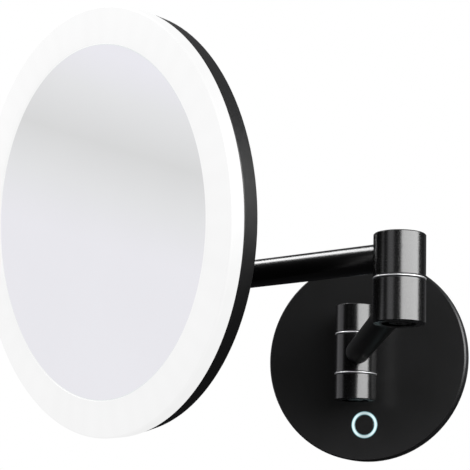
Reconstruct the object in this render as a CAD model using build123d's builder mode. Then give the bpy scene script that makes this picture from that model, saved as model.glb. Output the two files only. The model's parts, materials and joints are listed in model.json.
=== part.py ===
"""Extendable shaving mirror: a lit round mirror on a two-part arm that swings from a round wall plate.

Millimetres, +Z up. The origin is the centre of the wall plate, on the wall. The room is towards -Y.
"""

import os
from math import cos, radians, sin

from build123d import *

os.makedirs("parts", exist_ok=True)

# Wall plate
plate_d = 120.0
plate_depth = 8.0
plate_wall = 1.8
plate_edge = 0.8
seal_t = 0.8
seal_w = 1.5
seal_inset = 0.2
bracket_t = 2.5
bracket_margin = 4.2
bracket_hole_inset = 18.0
bracket_hole_d = 4.8
bracket_hole_count = 3
cable_hole_d = 14.0
cable_d = 7.0
grommet_lip = 1.4
grommet_lip_t = 1.0
rim_screw_out = 4.4
rim_screw_length = 7.0
rim_block_w = 12.0
rim_block_depth = 7.4
rim_block_gap = 0.8
rim_socket_r = 0.9
rim_socket_depth = 1.4
screw_sink = 3.0
screw_sink_gap = 0.3
electrics_gap = 0.4

# Arms and hinges
axis_out = 26.0
arm_1_length = 189.0
arm_2_length = 143.5
arm_1_turn = 23.5
arm_2_turn = -108.0
arm_d = 13.5
arm_wall = 1.5
barrel_d = 24.0
barrel_edge = 0.5
top_barrel_h = 16.2
middle_barrel_h = 22.2
bottom_barrel_h = 14.8
elbow_barrel_h = 20.2
hinge_gap = 0.8
washer_t = 0.7
washer_proud = 0.15
pin_d = 8.0
pin_bore_d = 4.4
pin_inset = 4.0
bush_wall = 1.5
bush_length = 9.0
bush_lift = 0.1
arm_seat_wall = 2.65
grub_inset = 1.6
grub_sink = 0.2
grub_socket_r = 0.7
grub_socket_depth = 1.2
recess_depth = 1.4
cap_inset = 3.0
cap_t = 2.0
cap_edge = 0.2
chamber_h = 3.0
chamber_gap = 1.0
clip_w = 2.2
clip_t = 0.7
clip_groove = 0.5
clip_lift = 0.9
clip_mouth = 3.0
pin_tip = 0.6
spring_t = 0.35
spring_rise = 0.4
spring_in_gap = 0.3
spring_out_gap = 0.4
stem_d = 11.0
stem_boss_d = 16.0
stem_bite = 5.0

# Head
head_d = 214.0
case_taper = 1.9
ring_w = 18.4
glass_t = 3.0
glass_recess = 0.7
glass_gap = 0.2
glass_edge = 0.3
tape_t = 0.55
tape_inset = 6.0
tape_reach = 20.0
carrier_gap = 0.3
carrier_screw_lift = 1.0
sink_r = 2.8
sink_depth = 1.3
light_depth = 7.6
case_depth = 9.7
opal_t = 2.2
case_t = 2.0
case_edge = 0.7
case_inset = 0.2
case_lead = 0.4
case_lead_w = 0.3
rib_gap = 0.6
rib_w = 2.0
case_seal_t = 0.4
case_seal_inset = 0.7
opal_edge = 0.8
opal_edge_step = 0.24
lip_w = 3.0
lip_t = 1.1
lip_lift = 0.1
head_turn = -28.0
head_nod = 8.0
tilt_reach = 48.0
tilt_rise = 31.4
tilt_barrel_d = 16.0
tilt_barrel_half = 7.2
tilt_pin_d = 6.0
tilt_bush_wall = 1.45
tilt_washer_inset = 0.5
ear_sink = 1.4
tilt_head_lip = 1.8
tilt_head_t = 1.8
tilt_socket_r = 2.3
tilt_socket_depth = 1.5
yoke_base_h = 10.6
neck_half = 4.5
neck_flare_r = 8.0
flange_d = 44.0
flange_t = 3.0
flange_edge = 0.6
mount_screw_pcd = 32.0
mount_screw_count = 4
mount_socket_r = 1.5
mount_socket_depth = 1.4
screw_turn = 45.0
backing_t = 2.5
backing_margin = 2.0
post_inset = 18.6
post_d = 7.0
post_count = 4
led_count = 48
led_w = 2.8
led_l = 3.5
led_h = 0.8
led_board_t = 1.6
tray_t = 1.0
tray_gap = 0.2
tray_out_gap = 0.5
tray_lift = 0.1
led_board_gap = 0.3

# Touch switch and the electrics in the wall plate
touch_inset = 21.0
touch_ring_d = 16.1
touch_disc_d = 11.1
touch_lip = 1.2
touch_edge = 0.2
board_t = 1.2
board_w = 28.0
board_h = 18.0
board_low = 3.5
standoff_d = 3.0
standoff_side_inset = 2.0
standoff_end_inset = 5.5
sensor_h = 0.6
sensor_inset = 1.1
touch_led_count = 8
touch_led_w = 1.0
touch_led_l = 1.8
touch_led_h = 0.4
driver_w = 30.0
driver_h = 28.0
driver_at = -31.0
driver_edge = 2.0
terminal_w = 14.0
terminal_h = 18.0
terminal_at = 25.0
terminal_hole_r = 1.6
terminal_hole_depth = 2.0
terminal_columns = 2
terminal_rows = 3

# Fits
press_gap = 0.02
running_gap = 0.05
loose_gap = 0.2
part_gap = 0.05
overcut = 1.0

# Screws: radius of the shank of each size, and of the heads
m2_5 = 1.25
m3 = 1.5
m4 = 2.0
m4_head_r = 3.6
m4_cap_r = 3.5
m4_cap_h = 2.2
m4_socket_r = 1.7
m4_socket_depth = 1.6
barrel_screw_bite = 7.0
tap_spare = 1.0
pin_screw_length = 9.0
pin_screw_head_h = 1.1
pin_screw_lip = 0.6
pin_socket_r = 1.76
pin_socket_depth = 2.0

barrel_r = barrel_d / 2
pin_r = pin_d / 2
bush_in = pin_r + running_gap
bush_out = bush_in + bush_wall
bush_seat = bush_out + press_gap
arm_r = arm_d / 2
arm_seat = bush_out + arm_seat_wall
grub_out = arm_seat + grub_inset
recess_wall = 0.75
recess_r = grub_out - m2_5 - recess_wall
plate_r = plate_d / 2
touch_drop = plate_r - touch_inset
upper_stem_z = middle_barrel_h / 2 + hinge_gap + top_barrel_h / 2
lower_stem_z = -(middle_barrel_h / 2 + hinge_gap + bottom_barrel_h / 2)
arm_step = elbow_barrel_h + hinge_gap


def direction(turn):
    """A level direction, turned from straight out of the wall (-Y) towards +X."""
    return Vector(sin(radians(turn)), -cos(radians(turn)), 0)


def save(piece, name):
    """Labels a finished piece and writes its STEP file."""
    piece.part.label = name
    export_step(piece.part, f"parts/{name}.step")


def bar(plane, radius, low, high, at=(0, 0), mode=Mode.ADD):
    """A cylinder along the plane's Z, from low to high, centred at a point of the plane."""
    with BuildSketch(plane.offset(low)) as section:
        with Locations(at):
            Circle(radius)
    extrude(section.sketch, amount=high - low, mode=mode)


def tube(plane, outer, inner, low, high, at=(0, 0), mode=Mode.ADD):
    """A hollow cylinder along the plane's Z."""
    with BuildSketch(plane.offset(low)) as section:
        with Locations(at):
            Circle(outer)
            Circle(inner, mode=Mode.SUBTRACT)
    extrude(section.sketch, amount=high - low, mode=mode)


def block(plane, width, height, low, high, at=(0, 0), mode=Mode.ADD):
    """A box along the plane's Z, centred at a point of the plane."""
    with BuildSketch(plane.offset(low)) as section:
        with Locations(at):
            Rectangle(width, height)
    extrude(section.sketch, amount=high - low, mode=mode)


def turned(plane, *outline, mode=Mode.ADD):
    """Revolves an outline of (radius, height) points round the plane's Z axis."""
    side = Plane(plane.origin, x_dir=plane.x_dir, z_dir=-plane.y_dir)
    with BuildSketch(side) as profile:
        Polygon(*outline, align=None)
    revolve(profile.sketch, axis=Axis(plane.origin, plane.z_dir), mode=mode)


def barrel(plane, low, high):
    """The outside of one hinge barrel, with a small chamfer at both ends."""
    edge = barrel_edge
    turned(
        plane,
        (0, low),
        (barrel_r - edge, low),
        (barrel_r, low + edge),
        (barrel_r, high - edge),
        (barrel_r - edge, high),
        (0, high),
    )


# Frames: the Z of each plane is the axis of what is built on it
up = Vector(0, 0, 1)
arm_1_dir = direction(arm_1_turn)
arm_2_dir = direction(arm_2_turn)
head_dir = direction(head_turn)
wall_hinge_at = Vector(0, -axis_out, 0)
elbow_at = wall_hinge_at + arm_1_dir * arm_1_length
swivel_at = elbow_at + arm_2_dir * arm_2_length + up * arm_step
tilt_at = swivel_at + up * tilt_rise
glass_dir = head_dir * cos(radians(head_nod)) - up * sin(radians(head_nod))
head_side = direction(head_turn + 90)

wall = Plane((0, 0, 0), x_dir=(1, 0, 0), z_dir=(0, -1, 0))
wall_hinge = Plane(wall_hinge_at, x_dir=arm_1_dir, z_dir=up)
inner_arm = Plane(wall_hinge_at, x_dir=up, z_dir=arm_1_dir)
elbow = Plane(elbow_at, x_dir=arm_2_dir, z_dir=up)
outer_arm = Plane(elbow_at + up * arm_step, x_dir=up, z_dir=arm_2_dir)
swivel = Plane(swivel_at, x_dir=head_dir, z_dir=up)
tilt = Plane(tilt_at, x_dir=head_dir, z_dir=head_side)
head_tilt = Plane(tilt_at, x_dir=glass_dir, z_dir=head_side)
head = Plane(tilt_at + glass_dir * tilt_reach, x_dir=head_side, z_dir=glass_dir)


# ---------------------------------------------------------------- wall base
plate_in_r = plate_r - plate_wall
plate_in = plate_depth - plate_wall
bracket_r = plate_in_r - bracket_margin
bracket_hole_r = plate_r - bracket_hole_inset
stem_r = stem_d / 2
stem_hole_r = stem_r + loose_gap
boss_gap = 0.6
boss_top = plate_in - boss_gap
screw_sink_r = m4_head_r + screw_sink_gap
rim_block_high = plate_in_r - rim_block_gap
rim_block_low = rim_block_high - rim_block_depth
board_top = board_low + board_t
standoff_out = board_w / 2 - standoff_side_inset
standoff_up = board_h / 2 - standoff_end_inset

# Steel bracket: a disc with two bosses for the stems and a block for the cover's grub screw
with BuildPart() as wall_bracket:
    bar(wall, bracket_r, 0, bracket_t)
    for height in (upper_stem_z, lower_stem_z):
        bar(wall, stem_boss_d / 2, bracket_t, boss_top, at=(0, height))
    block(
        wall,
        rim_block_w,
        rim_block_high - rim_block_low,
        0,
        boss_top,
        at=(0, -(rim_block_high + rim_block_low) / 2),
    )
    for height in (upper_stem_z, lower_stem_z):
        bar(wall, screw_sink_r, 0, screw_sink, at=(0, height), mode=Mode.SUBTRACT)
        bar(wall, m4 + loose_gap, 0, boss_top, at=(0, height), mode=Mode.SUBTRACT)
    bar(wall, cable_hole_d / 2, 0, bracket_t, mode=Mode.SUBTRACT)
    with BuildSketch(wall) as bracket_holes:
        with PolarLocations(bracket_hole_r, bracket_hole_count, start_angle=90):
            Circle(bracket_hole_d / 2)
    extrude(bracket_holes.sketch, amount=bracket_t, mode=Mode.SUBTRACT)
    rim_screw = Plane((0, -rim_screw_out, -plate_r), x_dir=(1, 0, 0), z_dir=(0, 0, 1))
    bar(rim_screw, m3 + press_gap, 0, plate_r - rim_block_low, mode=Mode.SUBTRACT)
    for side in (-1, 1):
        for lift in (-standoff_up, standoff_up):
            bar(wall, standoff_d / 2, bracket_t, board_low, at=(side * standoff_out, lift - touch_drop))
save(wall_bracket, "wall_bracket")

# Rubber ring between the cover's rim and the wall
with BuildPart() as wall_seal:
    seal_out = plate_r - seal_inset
    tube(wall, seal_out, seal_out - seal_w, 0, seal_t)
save(wall_seal, "wall_seal")

# Grommet round the supply lead, held in the bracket's middle hole by its two lips
with BuildPart() as cable_grommet:
    grommet_r = cable_hole_d / 2 - press_gap
    turned(
        wall,
        (cable_d / 2, 0),
        (grommet_r, 0),
        (grommet_r, bracket_t + part_gap),
        (grommet_r + grommet_lip, bracket_t + part_gap),
        (grommet_r + grommet_lip, bracket_t + grommet_lip_t),
        (cable_d / 2, bracket_t + grommet_lip_t),
    )
save(cable_grommet, "cable_grommet")

# Cover: a shallow black dish with holes for the two stems and the touch ring
with BuildPart() as cover_plate:
    turned(
        wall,
        (0, plate_in),
        (plate_in_r, plate_in),
        (plate_in_r, seal_t),
        (plate_r, seal_t),
        (plate_r, plate_depth - plate_edge),
        (plate_r - plate_edge, plate_depth),
        (0, plate_depth),
    )
    for height in (upper_stem_z, lower_stem_z):
        bar(wall, stem_hole_r, plate_in, plate_depth, at=(0, height), mode=Mode.SUBTRACT)
    ring_hole_r = touch_ring_d / 2 + press_gap
    bar(wall, ring_hole_r, plate_in, plate_depth, at=(0, -touch_drop), mode=Mode.SUBTRACT)
    bar(rim_screw, m3 + loose_gap, 0, plate_wall + overcut, mode=Mode.SUBTRACT)
save(cover_plate, "cover_plate")

# Grub screw from below through the cover's rim into the bracket
rim_screw_low = 0.6
with BuildPart() as cover_screw:
    bar(rim_screw, m3, rim_screw_low, rim_screw_low + rim_screw_length)
    with BuildSketch(rim_screw.offset(rim_screw_low)) as rim_socket:
        RegularPolygon(rim_socket_r, 6)
    extrude(rim_socket.sketch, amount=rim_socket_depth, mode=Mode.SUBTRACT)
save(cover_screw, "cover_screw")

# Touch switch: light ring with a lip behind the cover, and the black disc inside it
touch = Plane((0, 0, -touch_drop), x_dir=(1, 0, 0), z_dir=(0, -1, 0))
ring_in_r = touch_disc_d / 2 + part_gap
ring_low = board_top + sensor_h
with BuildPart() as touch_light_ring:
    turned(
        touch,
        (ring_in_r, ring_low),
        (touch_ring_d / 2 + touch_lip, ring_low),
        (touch_ring_d / 2 + touch_lip, plate_in - part_gap),
        (touch_ring_d / 2, plate_in - part_gap),
        (touch_ring_d / 2, plate_depth),
        (ring_in_r, plate_depth),
    )
save(touch_light_ring, "touch_light_ring")

with BuildPart() as touch_disc:
    bar(touch, touch_disc_d / 2, ring_low, plate_depth)
    chamfer(touch_disc.faces().sort_by(Axis.Y)[0].edges(), length=touch_edge)
save(touch_disc, "touch_disc")

with BuildPart() as touch_board:
    block(touch, board_w, board_h, board_low, board_top)
save(touch_board, "touch_board")

with BuildPart() as touch_sensor:
    bar(touch, touch_disc_d / 2 - sensor_inset, board_top, ring_low - part_gap)
save(touch_sensor, "touch_sensor")

with BuildPart() as touch_leds:
    with BuildSketch(touch.offset(board_top)) as touch_led_feet:
        with PolarLocations(touch_ring_d / 2 - touch_lip, touch_led_count):
            Rectangle(touch_led_w, touch_led_l)
    extrude(touch_led_feet.sketch, amount=touch_led_h)
save(touch_leds, "touch_leds")

# Potted driver and the terminal block for the supply lead, beside the grommet
electrics_top = plate_in - electrics_gap
with BuildPart() as led_driver:
    block(wall, driver_w, driver_h, bracket_t, electrics_top, at=(driver_at, 0))
    chamfer(led_driver.edges().filter_by(Axis.Y), length=driver_edge)
save(led_driver, "led_driver")

with BuildPart() as terminal_block:
    block(wall, terminal_w, terminal_h, bracket_t, electrics_top, at=(terminal_at, 0))
    with BuildSketch(wall.offset(electrics_top)) as terminal_holes:
        with Locations((terminal_at, 0)):
            with GridLocations(
                terminal_w / terminal_columns, terminal_h / terminal_rows, terminal_columns, terminal_rows
            ):
                Circle(terminal_hole_r)
    extrude(terminal_holes.sketch, amount=-terminal_hole_depth, mode=Mode.SUBTRACT)
save(terminal_block, "terminal_block")

# Wall hinge: two fixed barrels on stems. The lower one has a recess for the pin's screw
middle_top = middle_barrel_h / 2
fixed_low = middle_top + hinge_gap
fixed_top = fixed_low + top_barrel_h
fixed_bottom = -(fixed_low + bottom_barrel_h)
stem_end = axis_out - barrel_r + stem_bite
pin_top = fixed_top - pin_inset
tap_top = boss_top + barrel_screw_bite + tap_spare
with BuildPart() as upper_wall_barrel:
    barrel(wall_hinge, fixed_low, fixed_top)
    bar(wall, stem_r, boss_top, stem_end, at=(0, upper_stem_z))
    bar(wall_hinge, pin_r + press_gap, fixed_low, pin_top + part_gap, mode=Mode.SUBTRACT)
    bar(wall, m4 + press_gap, boss_top, tap_top, at=(0, upper_stem_z), mode=Mode.SUBTRACT)
save(upper_wall_barrel, "upper_wall_barrel")

with BuildPart() as lower_wall_barrel:
    barrel(wall_hinge, fixed_bottom, -fixed_low)
    bar(wall, stem_r, boss_top, stem_end, at=(0, lower_stem_z))
    bar(wall_hinge, pin_r + press_gap, fixed_bottom, -fixed_low, mode=Mode.SUBTRACT)
    bar(wall_hinge, recess_r, fixed_bottom, fixed_bottom + recess_depth, mode=Mode.SUBTRACT)
    bar(wall, m4 + press_gap, boss_top, tap_top, at=(0, lower_stem_z), mode=Mode.SUBTRACT)
save(lower_wall_barrel, "lower_wall_barrel")

barrel_screw_low = 0.4
with BuildPart() as barrel_screws:
    for height in (upper_stem_z, lower_stem_z):
        bar(wall, m4_head_r, barrel_screw_low, screw_sink, at=(0, height))
        bar(wall, m4, screw_sink, boss_top + barrel_screw_bite, at=(0, height))
    with BuildSketch(wall.offset(barrel_screw_low)) as barrel_sockets:
        with Locations((0, upper_stem_z), (0, lower_stem_z)):
            RegularPolygon(m4_socket_r, 6)
    extrude(barrel_sockets.sketch, amount=m4_socket_depth, mode=Mode.SUBTRACT)
save(barrel_screws, "barrel_screws")


def hinge_pin(plane, low, high):
    """A hollow hinge pin."""
    tube(plane, pin_r, pin_bore_d / 2, low, high)


def pin_screw(plane, floor):
    """The screw that closes the lower end of a hollow pin, its head in the barrel's recess."""
    head_low = floor - pin_screw_head_h
    bar(plane, pin_r + pin_screw_lip, head_low, floor)
    bar(plane, pin_bore_d / 2 - part_gap, floor, floor + pin_screw_length)
    with BuildSketch(plane.offset(head_low)) as socket:
        RegularPolygon(pin_socket_r, 6)
    extrude(socket.sketch, amount=pin_socket_depth, mode=Mode.SUBTRACT)


with BuildPart() as wall_pin:
    hinge_pin(wall_hinge, fixed_bottom + recess_depth, pin_top)
save(wall_pin, "wall_pin")

with BuildPart() as wall_pin_screw:
    pin_screw(wall_hinge, fixed_bottom + recess_depth)
save(wall_pin_screw, "wall_pin_screw")

washer_r = barrel_r + washer_proud
washer_lift = (hinge_gap - washer_t) / 2
with BuildPart() as wall_washers:
    for low in (middle_top + washer_lift, -fixed_low + washer_lift):
        tube(wall_hinge, washer_r, bush_in, low, low + washer_t)
save(wall_washers, "wall_washers")


# ---------------------------------------------------------------- inner arm
elbow_top = elbow_barrel_h / 2
upper_low = elbow_top + hinge_gap
upper_top = upper_low + elbow_barrel_h
cap_r = barrel_r - cap_inset
clip_r = pin_r + clip_w
chamber_r = clip_r + chamber_gap
elbow_bush_top = upper_top - cap_t - chamber_h


def arm_socket(arm, side, start):
    """The hole in a barrel that an arm tube seats in, from its seat to past the barrel."""
    bar(arm, arm_r + press_gap, start, start + side * (barrel_r + overcut - arm_seat), mode=Mode.SUBTRACT)


with BuildPart() as wall_mid_barrel:
    barrel(wall_hinge, -middle_top, middle_top)
    bar(wall_hinge, bush_seat, -middle_top, middle_top, mode=Mode.SUBTRACT)
    arm_socket(inner_arm, 1, arm_seat)
    bar(wall_hinge, m2_5, -middle_top, 0, at=(grub_out, 0), mode=Mode.SUBTRACT)
save(wall_mid_barrel, "wall_mid_barrel")

with BuildPart() as wall_bushes:
    for low in (middle_top - part_gap - bush_length, -middle_top + part_gap):
        tube(wall_hinge, bush_out, bush_in, low, low + bush_length)
save(wall_bushes, "wall_bushes")


def arm_tube(arm, hinge, length, floor):
    """An arm tube with a grub screw hole through its lower wall near each end."""
    tube(arm, arm_r, arm_r - arm_wall, arm_seat, length - arm_seat)
    for out in (grub_out, length - grub_out):
        bar(hinge, m2_5, floor - arm_r - overcut, floor, at=(out, 0), mode=Mode.SUBTRACT)


def grub_screw(hinge, out, low, floor):
    """A grub screw from a barrel's lower face up through the wall of the arm tube."""
    bar(hinge, m2_5 - press_gap, low + grub_sink, floor - arm_r + arm_wall, at=(out, 0))
    with BuildSketch(hinge.offset(low + grub_sink)) as socket:
        with Locations((out, 0)):
            RegularPolygon(grub_socket_r, 6)
    extrude(socket.sketch, amount=grub_socket_depth, mode=Mode.SUBTRACT)


elbow_back = Plane(elbow_at, x_dir=-arm_1_dir, z_dir=up)
with BuildPart() as inner_arm_tube:
    arm_tube(inner_arm, wall_hinge, arm_1_length, 0)
save(inner_arm_tube, "inner_arm_tube")

with BuildPart() as inner_arm_grub_screws:
    grub_screw(wall_hinge, grub_out, -middle_top, 0)
    grub_screw(elbow_back, grub_out, -elbow_top, 0)
save(inner_arm_grub_screws, "inner_arm_grub_screws")


def pinned_barrel(plane, low, high):
    """A hinge barrel that holds the pin tight, with a recess below for the pin's screw."""
    barrel(plane, low, high)
    bar(plane, pin_r + press_gap, low, high, mode=Mode.SUBTRACT)
    bar(plane, recess_r, low, low + recess_depth, mode=Mode.SUBTRACT)


with BuildPart() as elbow_lower_barrel:
    pinned_barrel(elbow, -elbow_top, elbow_top)
    arm_socket(inner_arm, -1, arm_1_length - arm_seat)
    bar(elbow_back, m2_5, -elbow_top, 0, at=(grub_out, 0), mode=Mode.SUBTRACT)
save(elbow_lower_barrel, "elbow_lower_barrel")

# Pins, screws, circlips and washers are alike at the elbow and behind the head
pin_end = clip_lift + clip_t + pin_tip
spring_in = pin_r + spring_in_gap
spring_out = chamber_r - spring_out_gap
yoke_bush_top = upper_low + yoke_base_h - chamber_h
for name, plane, bush_top in (
    ("elbow", elbow, elbow_bush_top),
    ("head", swivel, yoke_bush_top),
):
    clip_low = bush_top + clip_lift
    with BuildPart() as pin:
        hinge_pin(plane, -elbow_top + recess_depth, bush_top + pin_end)
        tube(
            plane,
            pin_r + overcut,
            pin_r - clip_groove,
            clip_low - part_gap,
            clip_low + clip_t + part_gap,
            mode=Mode.SUBTRACT,
        )
    save(pin, f"{name}_pin")

    with BuildPart() as screw:
        pin_screw(plane, -elbow_top + recess_depth)
    save(screw, f"{name}_pin_screw")

    with BuildPart() as circlip:
        tube(plane, clip_r, pin_r - clip_groove + part_gap, clip_low, clip_low + clip_t)
        mouth = clip_r + overcut
        block(plane, mouth, clip_mouth, clip_low, clip_low + clip_t, at=(mouth / 2, 0), mode=Mode.SUBTRACT)
    save(circlip, f"{name}_circlip")

    with BuildPart() as washer:
        low = elbow_top + washer_lift
        tube(plane, washer_r, bush_in, low, low + washer_t)
    save(washer, f"{name}_washer")

    with BuildPart() as bush:
        tube(plane, bush_out, bush_in, upper_low + bush_lift, bush_top)
    save(bush, f"{name}_bush")

    # Conical spring washer that presses the hinge together
    with BuildPart() as spring_washer:
        turned(
            plane,
            (spring_in, bush_top + spring_rise),
            (spring_out, bush_top + part_gap),
            (spring_out, bush_top + part_gap + spring_t),
            (spring_in, bush_top + spring_rise + spring_t),
        )
    save(spring_washer, f"{name}_spring_washer")


# ---------------------------------------------------------------- outer arm
with BuildPart() as elbow_upper_barrel:
    barrel(elbow, upper_low, upper_top)
    bar(elbow, bush_seat, upper_low, elbow_bush_top, mode=Mode.SUBTRACT)
    bar(elbow, chamber_r, elbow_bush_top, upper_top, mode=Mode.SUBTRACT)
    bar(elbow, cap_r + press_gap, upper_top - cap_t, upper_top, mode=Mode.SUBTRACT)
    arm_socket(outer_arm, 1, arm_seat)
    bar(elbow, m2_5, upper_low, arm_step, at=(grub_out, 0), mode=Mode.SUBTRACT)
save(elbow_upper_barrel, "elbow_upper_barrel")

with BuildPart() as elbow_cap:
    turned(
        elbow,
        (0, upper_top - cap_t),
        (cap_r, upper_top - cap_t),
        (cap_r, upper_top - cap_edge),
        (cap_r - cap_edge, upper_top),
        (0, upper_top),
    )
save(elbow_cap, "elbow_cap")

with BuildPart() as outer_arm_tube:
    arm_tube(outer_arm, elbow, arm_2_length, arm_step)
save(outer_arm_tube, "outer_arm_tube")

swivel_back = Plane(swivel_at, x_dir=-arm_2_dir, z_dir=up)
with BuildPart() as outer_arm_grub_screws:
    grub_screw(elbow, grub_out, upper_low, arm_step)
    grub_screw(swivel_back, grub_out, -elbow_top, 0)
save(outer_arm_grub_screws, "outer_arm_grub_screws")

with BuildPart() as head_lower_barrel:
    pinned_barrel(swivel, -elbow_top, elbow_top)
    arm_socket(outer_arm, -1, arm_2_length - arm_seat)
    bar(swivel_back, m2_5, -elbow_top, 0, at=(grub_out, 0), mode=Mode.SUBTRACT)
save(head_lower_barrel, "head_lower_barrel")


# ---------------------------------------------------------------- head yoke
yoke_floor = upper_low + yoke_base_h
tilt_r = tilt_barrel_d / 2
tilt_pin_r = tilt_pin_d / 2
slot_half = tilt_barrel_half + hinge_gap
ear_seat = barrel_r - ear_sink
tilt_head_r = tilt_pin_r + tilt_head_lip
with BuildPart() as yoke:
    barrel(swivel, upper_low, tilt_rise + tilt_r)
    slot_top = tilt_rise + tilt_r
    block(swivel, barrel_d + 2 * overcut, 2 * slot_half, yoke_floor, slot_top, mode=Mode.SUBTRACT)
    bar(swivel, bush_seat, upper_low, yoke_bush_top, mode=Mode.SUBTRACT)
    bar(swivel, chamber_r, yoke_bush_top, yoke_floor, mode=Mode.SUBTRACT)
    bar(tilt, tilt_pin_r + press_gap, -barrel_d, barrel_d, mode=Mode.SUBTRACT)
    bar(tilt, tilt_head_r + loose_gap, ear_seat, barrel_r + overcut, mode=Mode.SUBTRACT)
    bar(tilt, tilt_head_r + loose_gap, -barrel_r - overcut, -ear_seat, mode=Mode.SUBTRACT)
save(yoke, "yoke")

with BuildPart() as tilt_pin:
    bar(tilt, tilt_pin_r, -ear_seat - tilt_head_t, ear_seat)
    bar(tilt, tilt_head_r, ear_seat, ear_seat + tilt_head_t)
    with BuildSketch(tilt.offset(ear_seat + tilt_head_t)) as tilt_socket:
        RegularPolygon(tilt_socket_r, 6)
    extrude(tilt_socket.sketch, amount=-tilt_socket_depth, mode=Mode.SUBTRACT)
save(tilt_pin, "tilt_pin")

with BuildPart() as tilt_nut:
    with BuildSketch(tilt.offset(-ear_seat - tilt_head_t)) as nut_outline:
        RegularPolygon(tilt_head_r, 6)
        Circle(tilt_pin_r + press_gap, mode=Mode.SUBTRACT)
    extrude(nut_outline.sketch, amount=tilt_head_t)
save(tilt_nut, "tilt_nut")

with BuildPart() as tilt_washers:
    for low in (tilt_barrel_half + washer_lift, -slot_half + washer_lift):
        tube(tilt, tilt_r - tilt_washer_inset, tilt_pin_r + running_gap, low, low + washer_t)
save(tilt_washers, "tilt_washers")


# ---------------------------------------------------------------- mirror head
head_r = head_d / 2
back_r = head_r - case_taper
glass_r = head_r - ring_w
case_front = -(light_depth + case_seal_t)
case_back = case_front - case_depth
floor = case_back + case_t
flange_r = flange_d / 2
mount_screw_r = mount_screw_pcd / 2

# Tilt barrel, neck and flange in one casting. The neck flares into the flange
head_section = Plane(head.origin, x_dir=head.x_dir, z_dir=-head.y_dir)
with BuildPart() as head_mount:
    bar(head_tilt, tilt_r, -tilt_barrel_half, tilt_barrel_half)
    block(head, 2 * tilt_barrel_half, 2 * neck_half, -tilt_reach, case_back)
    flare_out = neck_half + neck_flare_r
    flare_top = case_back - flange_t
    with BuildSketch(head_section) as flare:
        Polygon(
            (0, flare_top - neck_flare_r),
            (flare_out, flare_top - neck_flare_r),
            (flare_out, flare_top),
            (0, flare_top),
            align=None,
        )
        with Locations((flare_out, flare_top - neck_flare_r)):
            Circle(neck_flare_r, mode=Mode.SUBTRACT)
    revolve(flare.sketch, axis=Axis(head.origin, head.z_dir))
    turned(
        head,
        (0, case_back),
        (flange_r, case_back),
        (flange_r, case_back - flange_t + flange_edge),
        (flange_r - flange_edge, case_back - flange_t),
        (0, case_back - flange_t),
    )
    bar(
        head_tilt,
        tilt_pin_r + running_gap + tilt_bush_wall + press_gap,
        -tilt_barrel_half,
        tilt_barrel_half,
        mode=Mode.SUBTRACT,
    )
    with BuildSketch(head.offset(case_back)) as mount_holes:
        with PolarLocations(mount_screw_r, mount_screw_count, start_angle=screw_turn):
            Circle(m4 + loose_gap)
    extrude(mount_holes.sketch, amount=-flange_t, mode=Mode.SUBTRACT)
save(head_mount, "head_mount")

with BuildPart() as tilt_bush:
    tube(
        tilt,
        tilt_pin_r + running_gap + tilt_bush_wall,
        tilt_pin_r + running_gap,
        part_gap - tilt_barrel_half,
        tilt_barrel_half - part_gap,
    )
save(tilt_bush, "tilt_bush")

# Black dish with a rib under the white ring's inner lip and four posts for the carrier
lip_low = -light_depth + lip_lift
lip_top = lip_low + lip_t
lip_in = glass_r - lip_w
rib_r = glass_r - rib_gap
post_ring_r = glass_r - post_inset
post_r = post_d / 2
with BuildPart() as rear_case:
    rim_r = head_r - case_inset
    turned(
        head,
        (0, case_back),
        (back_r - case_edge, case_back),
        (back_r, case_back + case_edge),
        (rim_r, case_front - case_lead),
        (rim_r - case_lead_w, case_front),
        (rim_r - case_inset - case_t, case_front),
        (back_r - case_t, floor),
        (0, floor),
    )
    tube(head, rib_r, rib_r - rib_w, floor, lip_low - part_gap)
    with BuildSketch(head.offset(floor)) as posts:
        with PolarLocations(post_ring_r, post_count, start_angle=screw_turn):
            Circle(post_r)
            Circle(m3 + press_gap, mode=Mode.SUBTRACT)
    extrude(posts.sketch, amount=lip_top - part_gap - floor)
    with BuildSketch(head.offset(case_back)) as case_holes:
        with PolarLocations(mount_screw_r, mount_screw_count, start_angle=screw_turn):
            Circle(m4 + loose_gap)
    extrude(case_holes.sketch, amount=case_t, mode=Mode.SUBTRACT)
save(rear_case, "rear_case")

with BuildPart() as mount_backing_plate:
    bar(head, flange_r + backing_margin, floor, floor + backing_t)
    with BuildSketch(head.offset(floor)) as backing_holes:
        with PolarLocations(mount_screw_r, mount_screw_count, start_angle=screw_turn):
            Circle(m4 + press_gap)
    extrude(backing_holes.sketch, amount=backing_t, mode=Mode.SUBTRACT)
save(mount_backing_plate, "mount_backing_plate")

with BuildPart() as head_mount_screws:
    seat = case_back - flange_t
    for radius, low, high in (
        (m4_cap_r, seat - m4_cap_h, seat),
        (m4, seat, floor + backing_t),
    ):
        with BuildSketch(head.offset(low)) as screw_round:
            with PolarLocations(mount_screw_r, mount_screw_count, start_angle=screw_turn):
                Circle(radius)
        extrude(screw_round.sketch, amount=high - low)
    with BuildSketch(head.offset(seat - m4_cap_h)) as mount_sockets:
        with PolarLocations(mount_screw_r, mount_screw_count, start_angle=screw_turn):
            RegularPolygon(mount_socket_r, 6)
    extrude(mount_sockets.sketch, amount=mount_socket_depth, mode=Mode.SUBTRACT)
save(head_mount_screws, "head_mount_screws")

with BuildPart() as case_seal:
    tube(head, head_r - case_seal_inset, head_r - opal_t, case_front, -light_depth)
save(case_seal, "case_seal")

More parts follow.
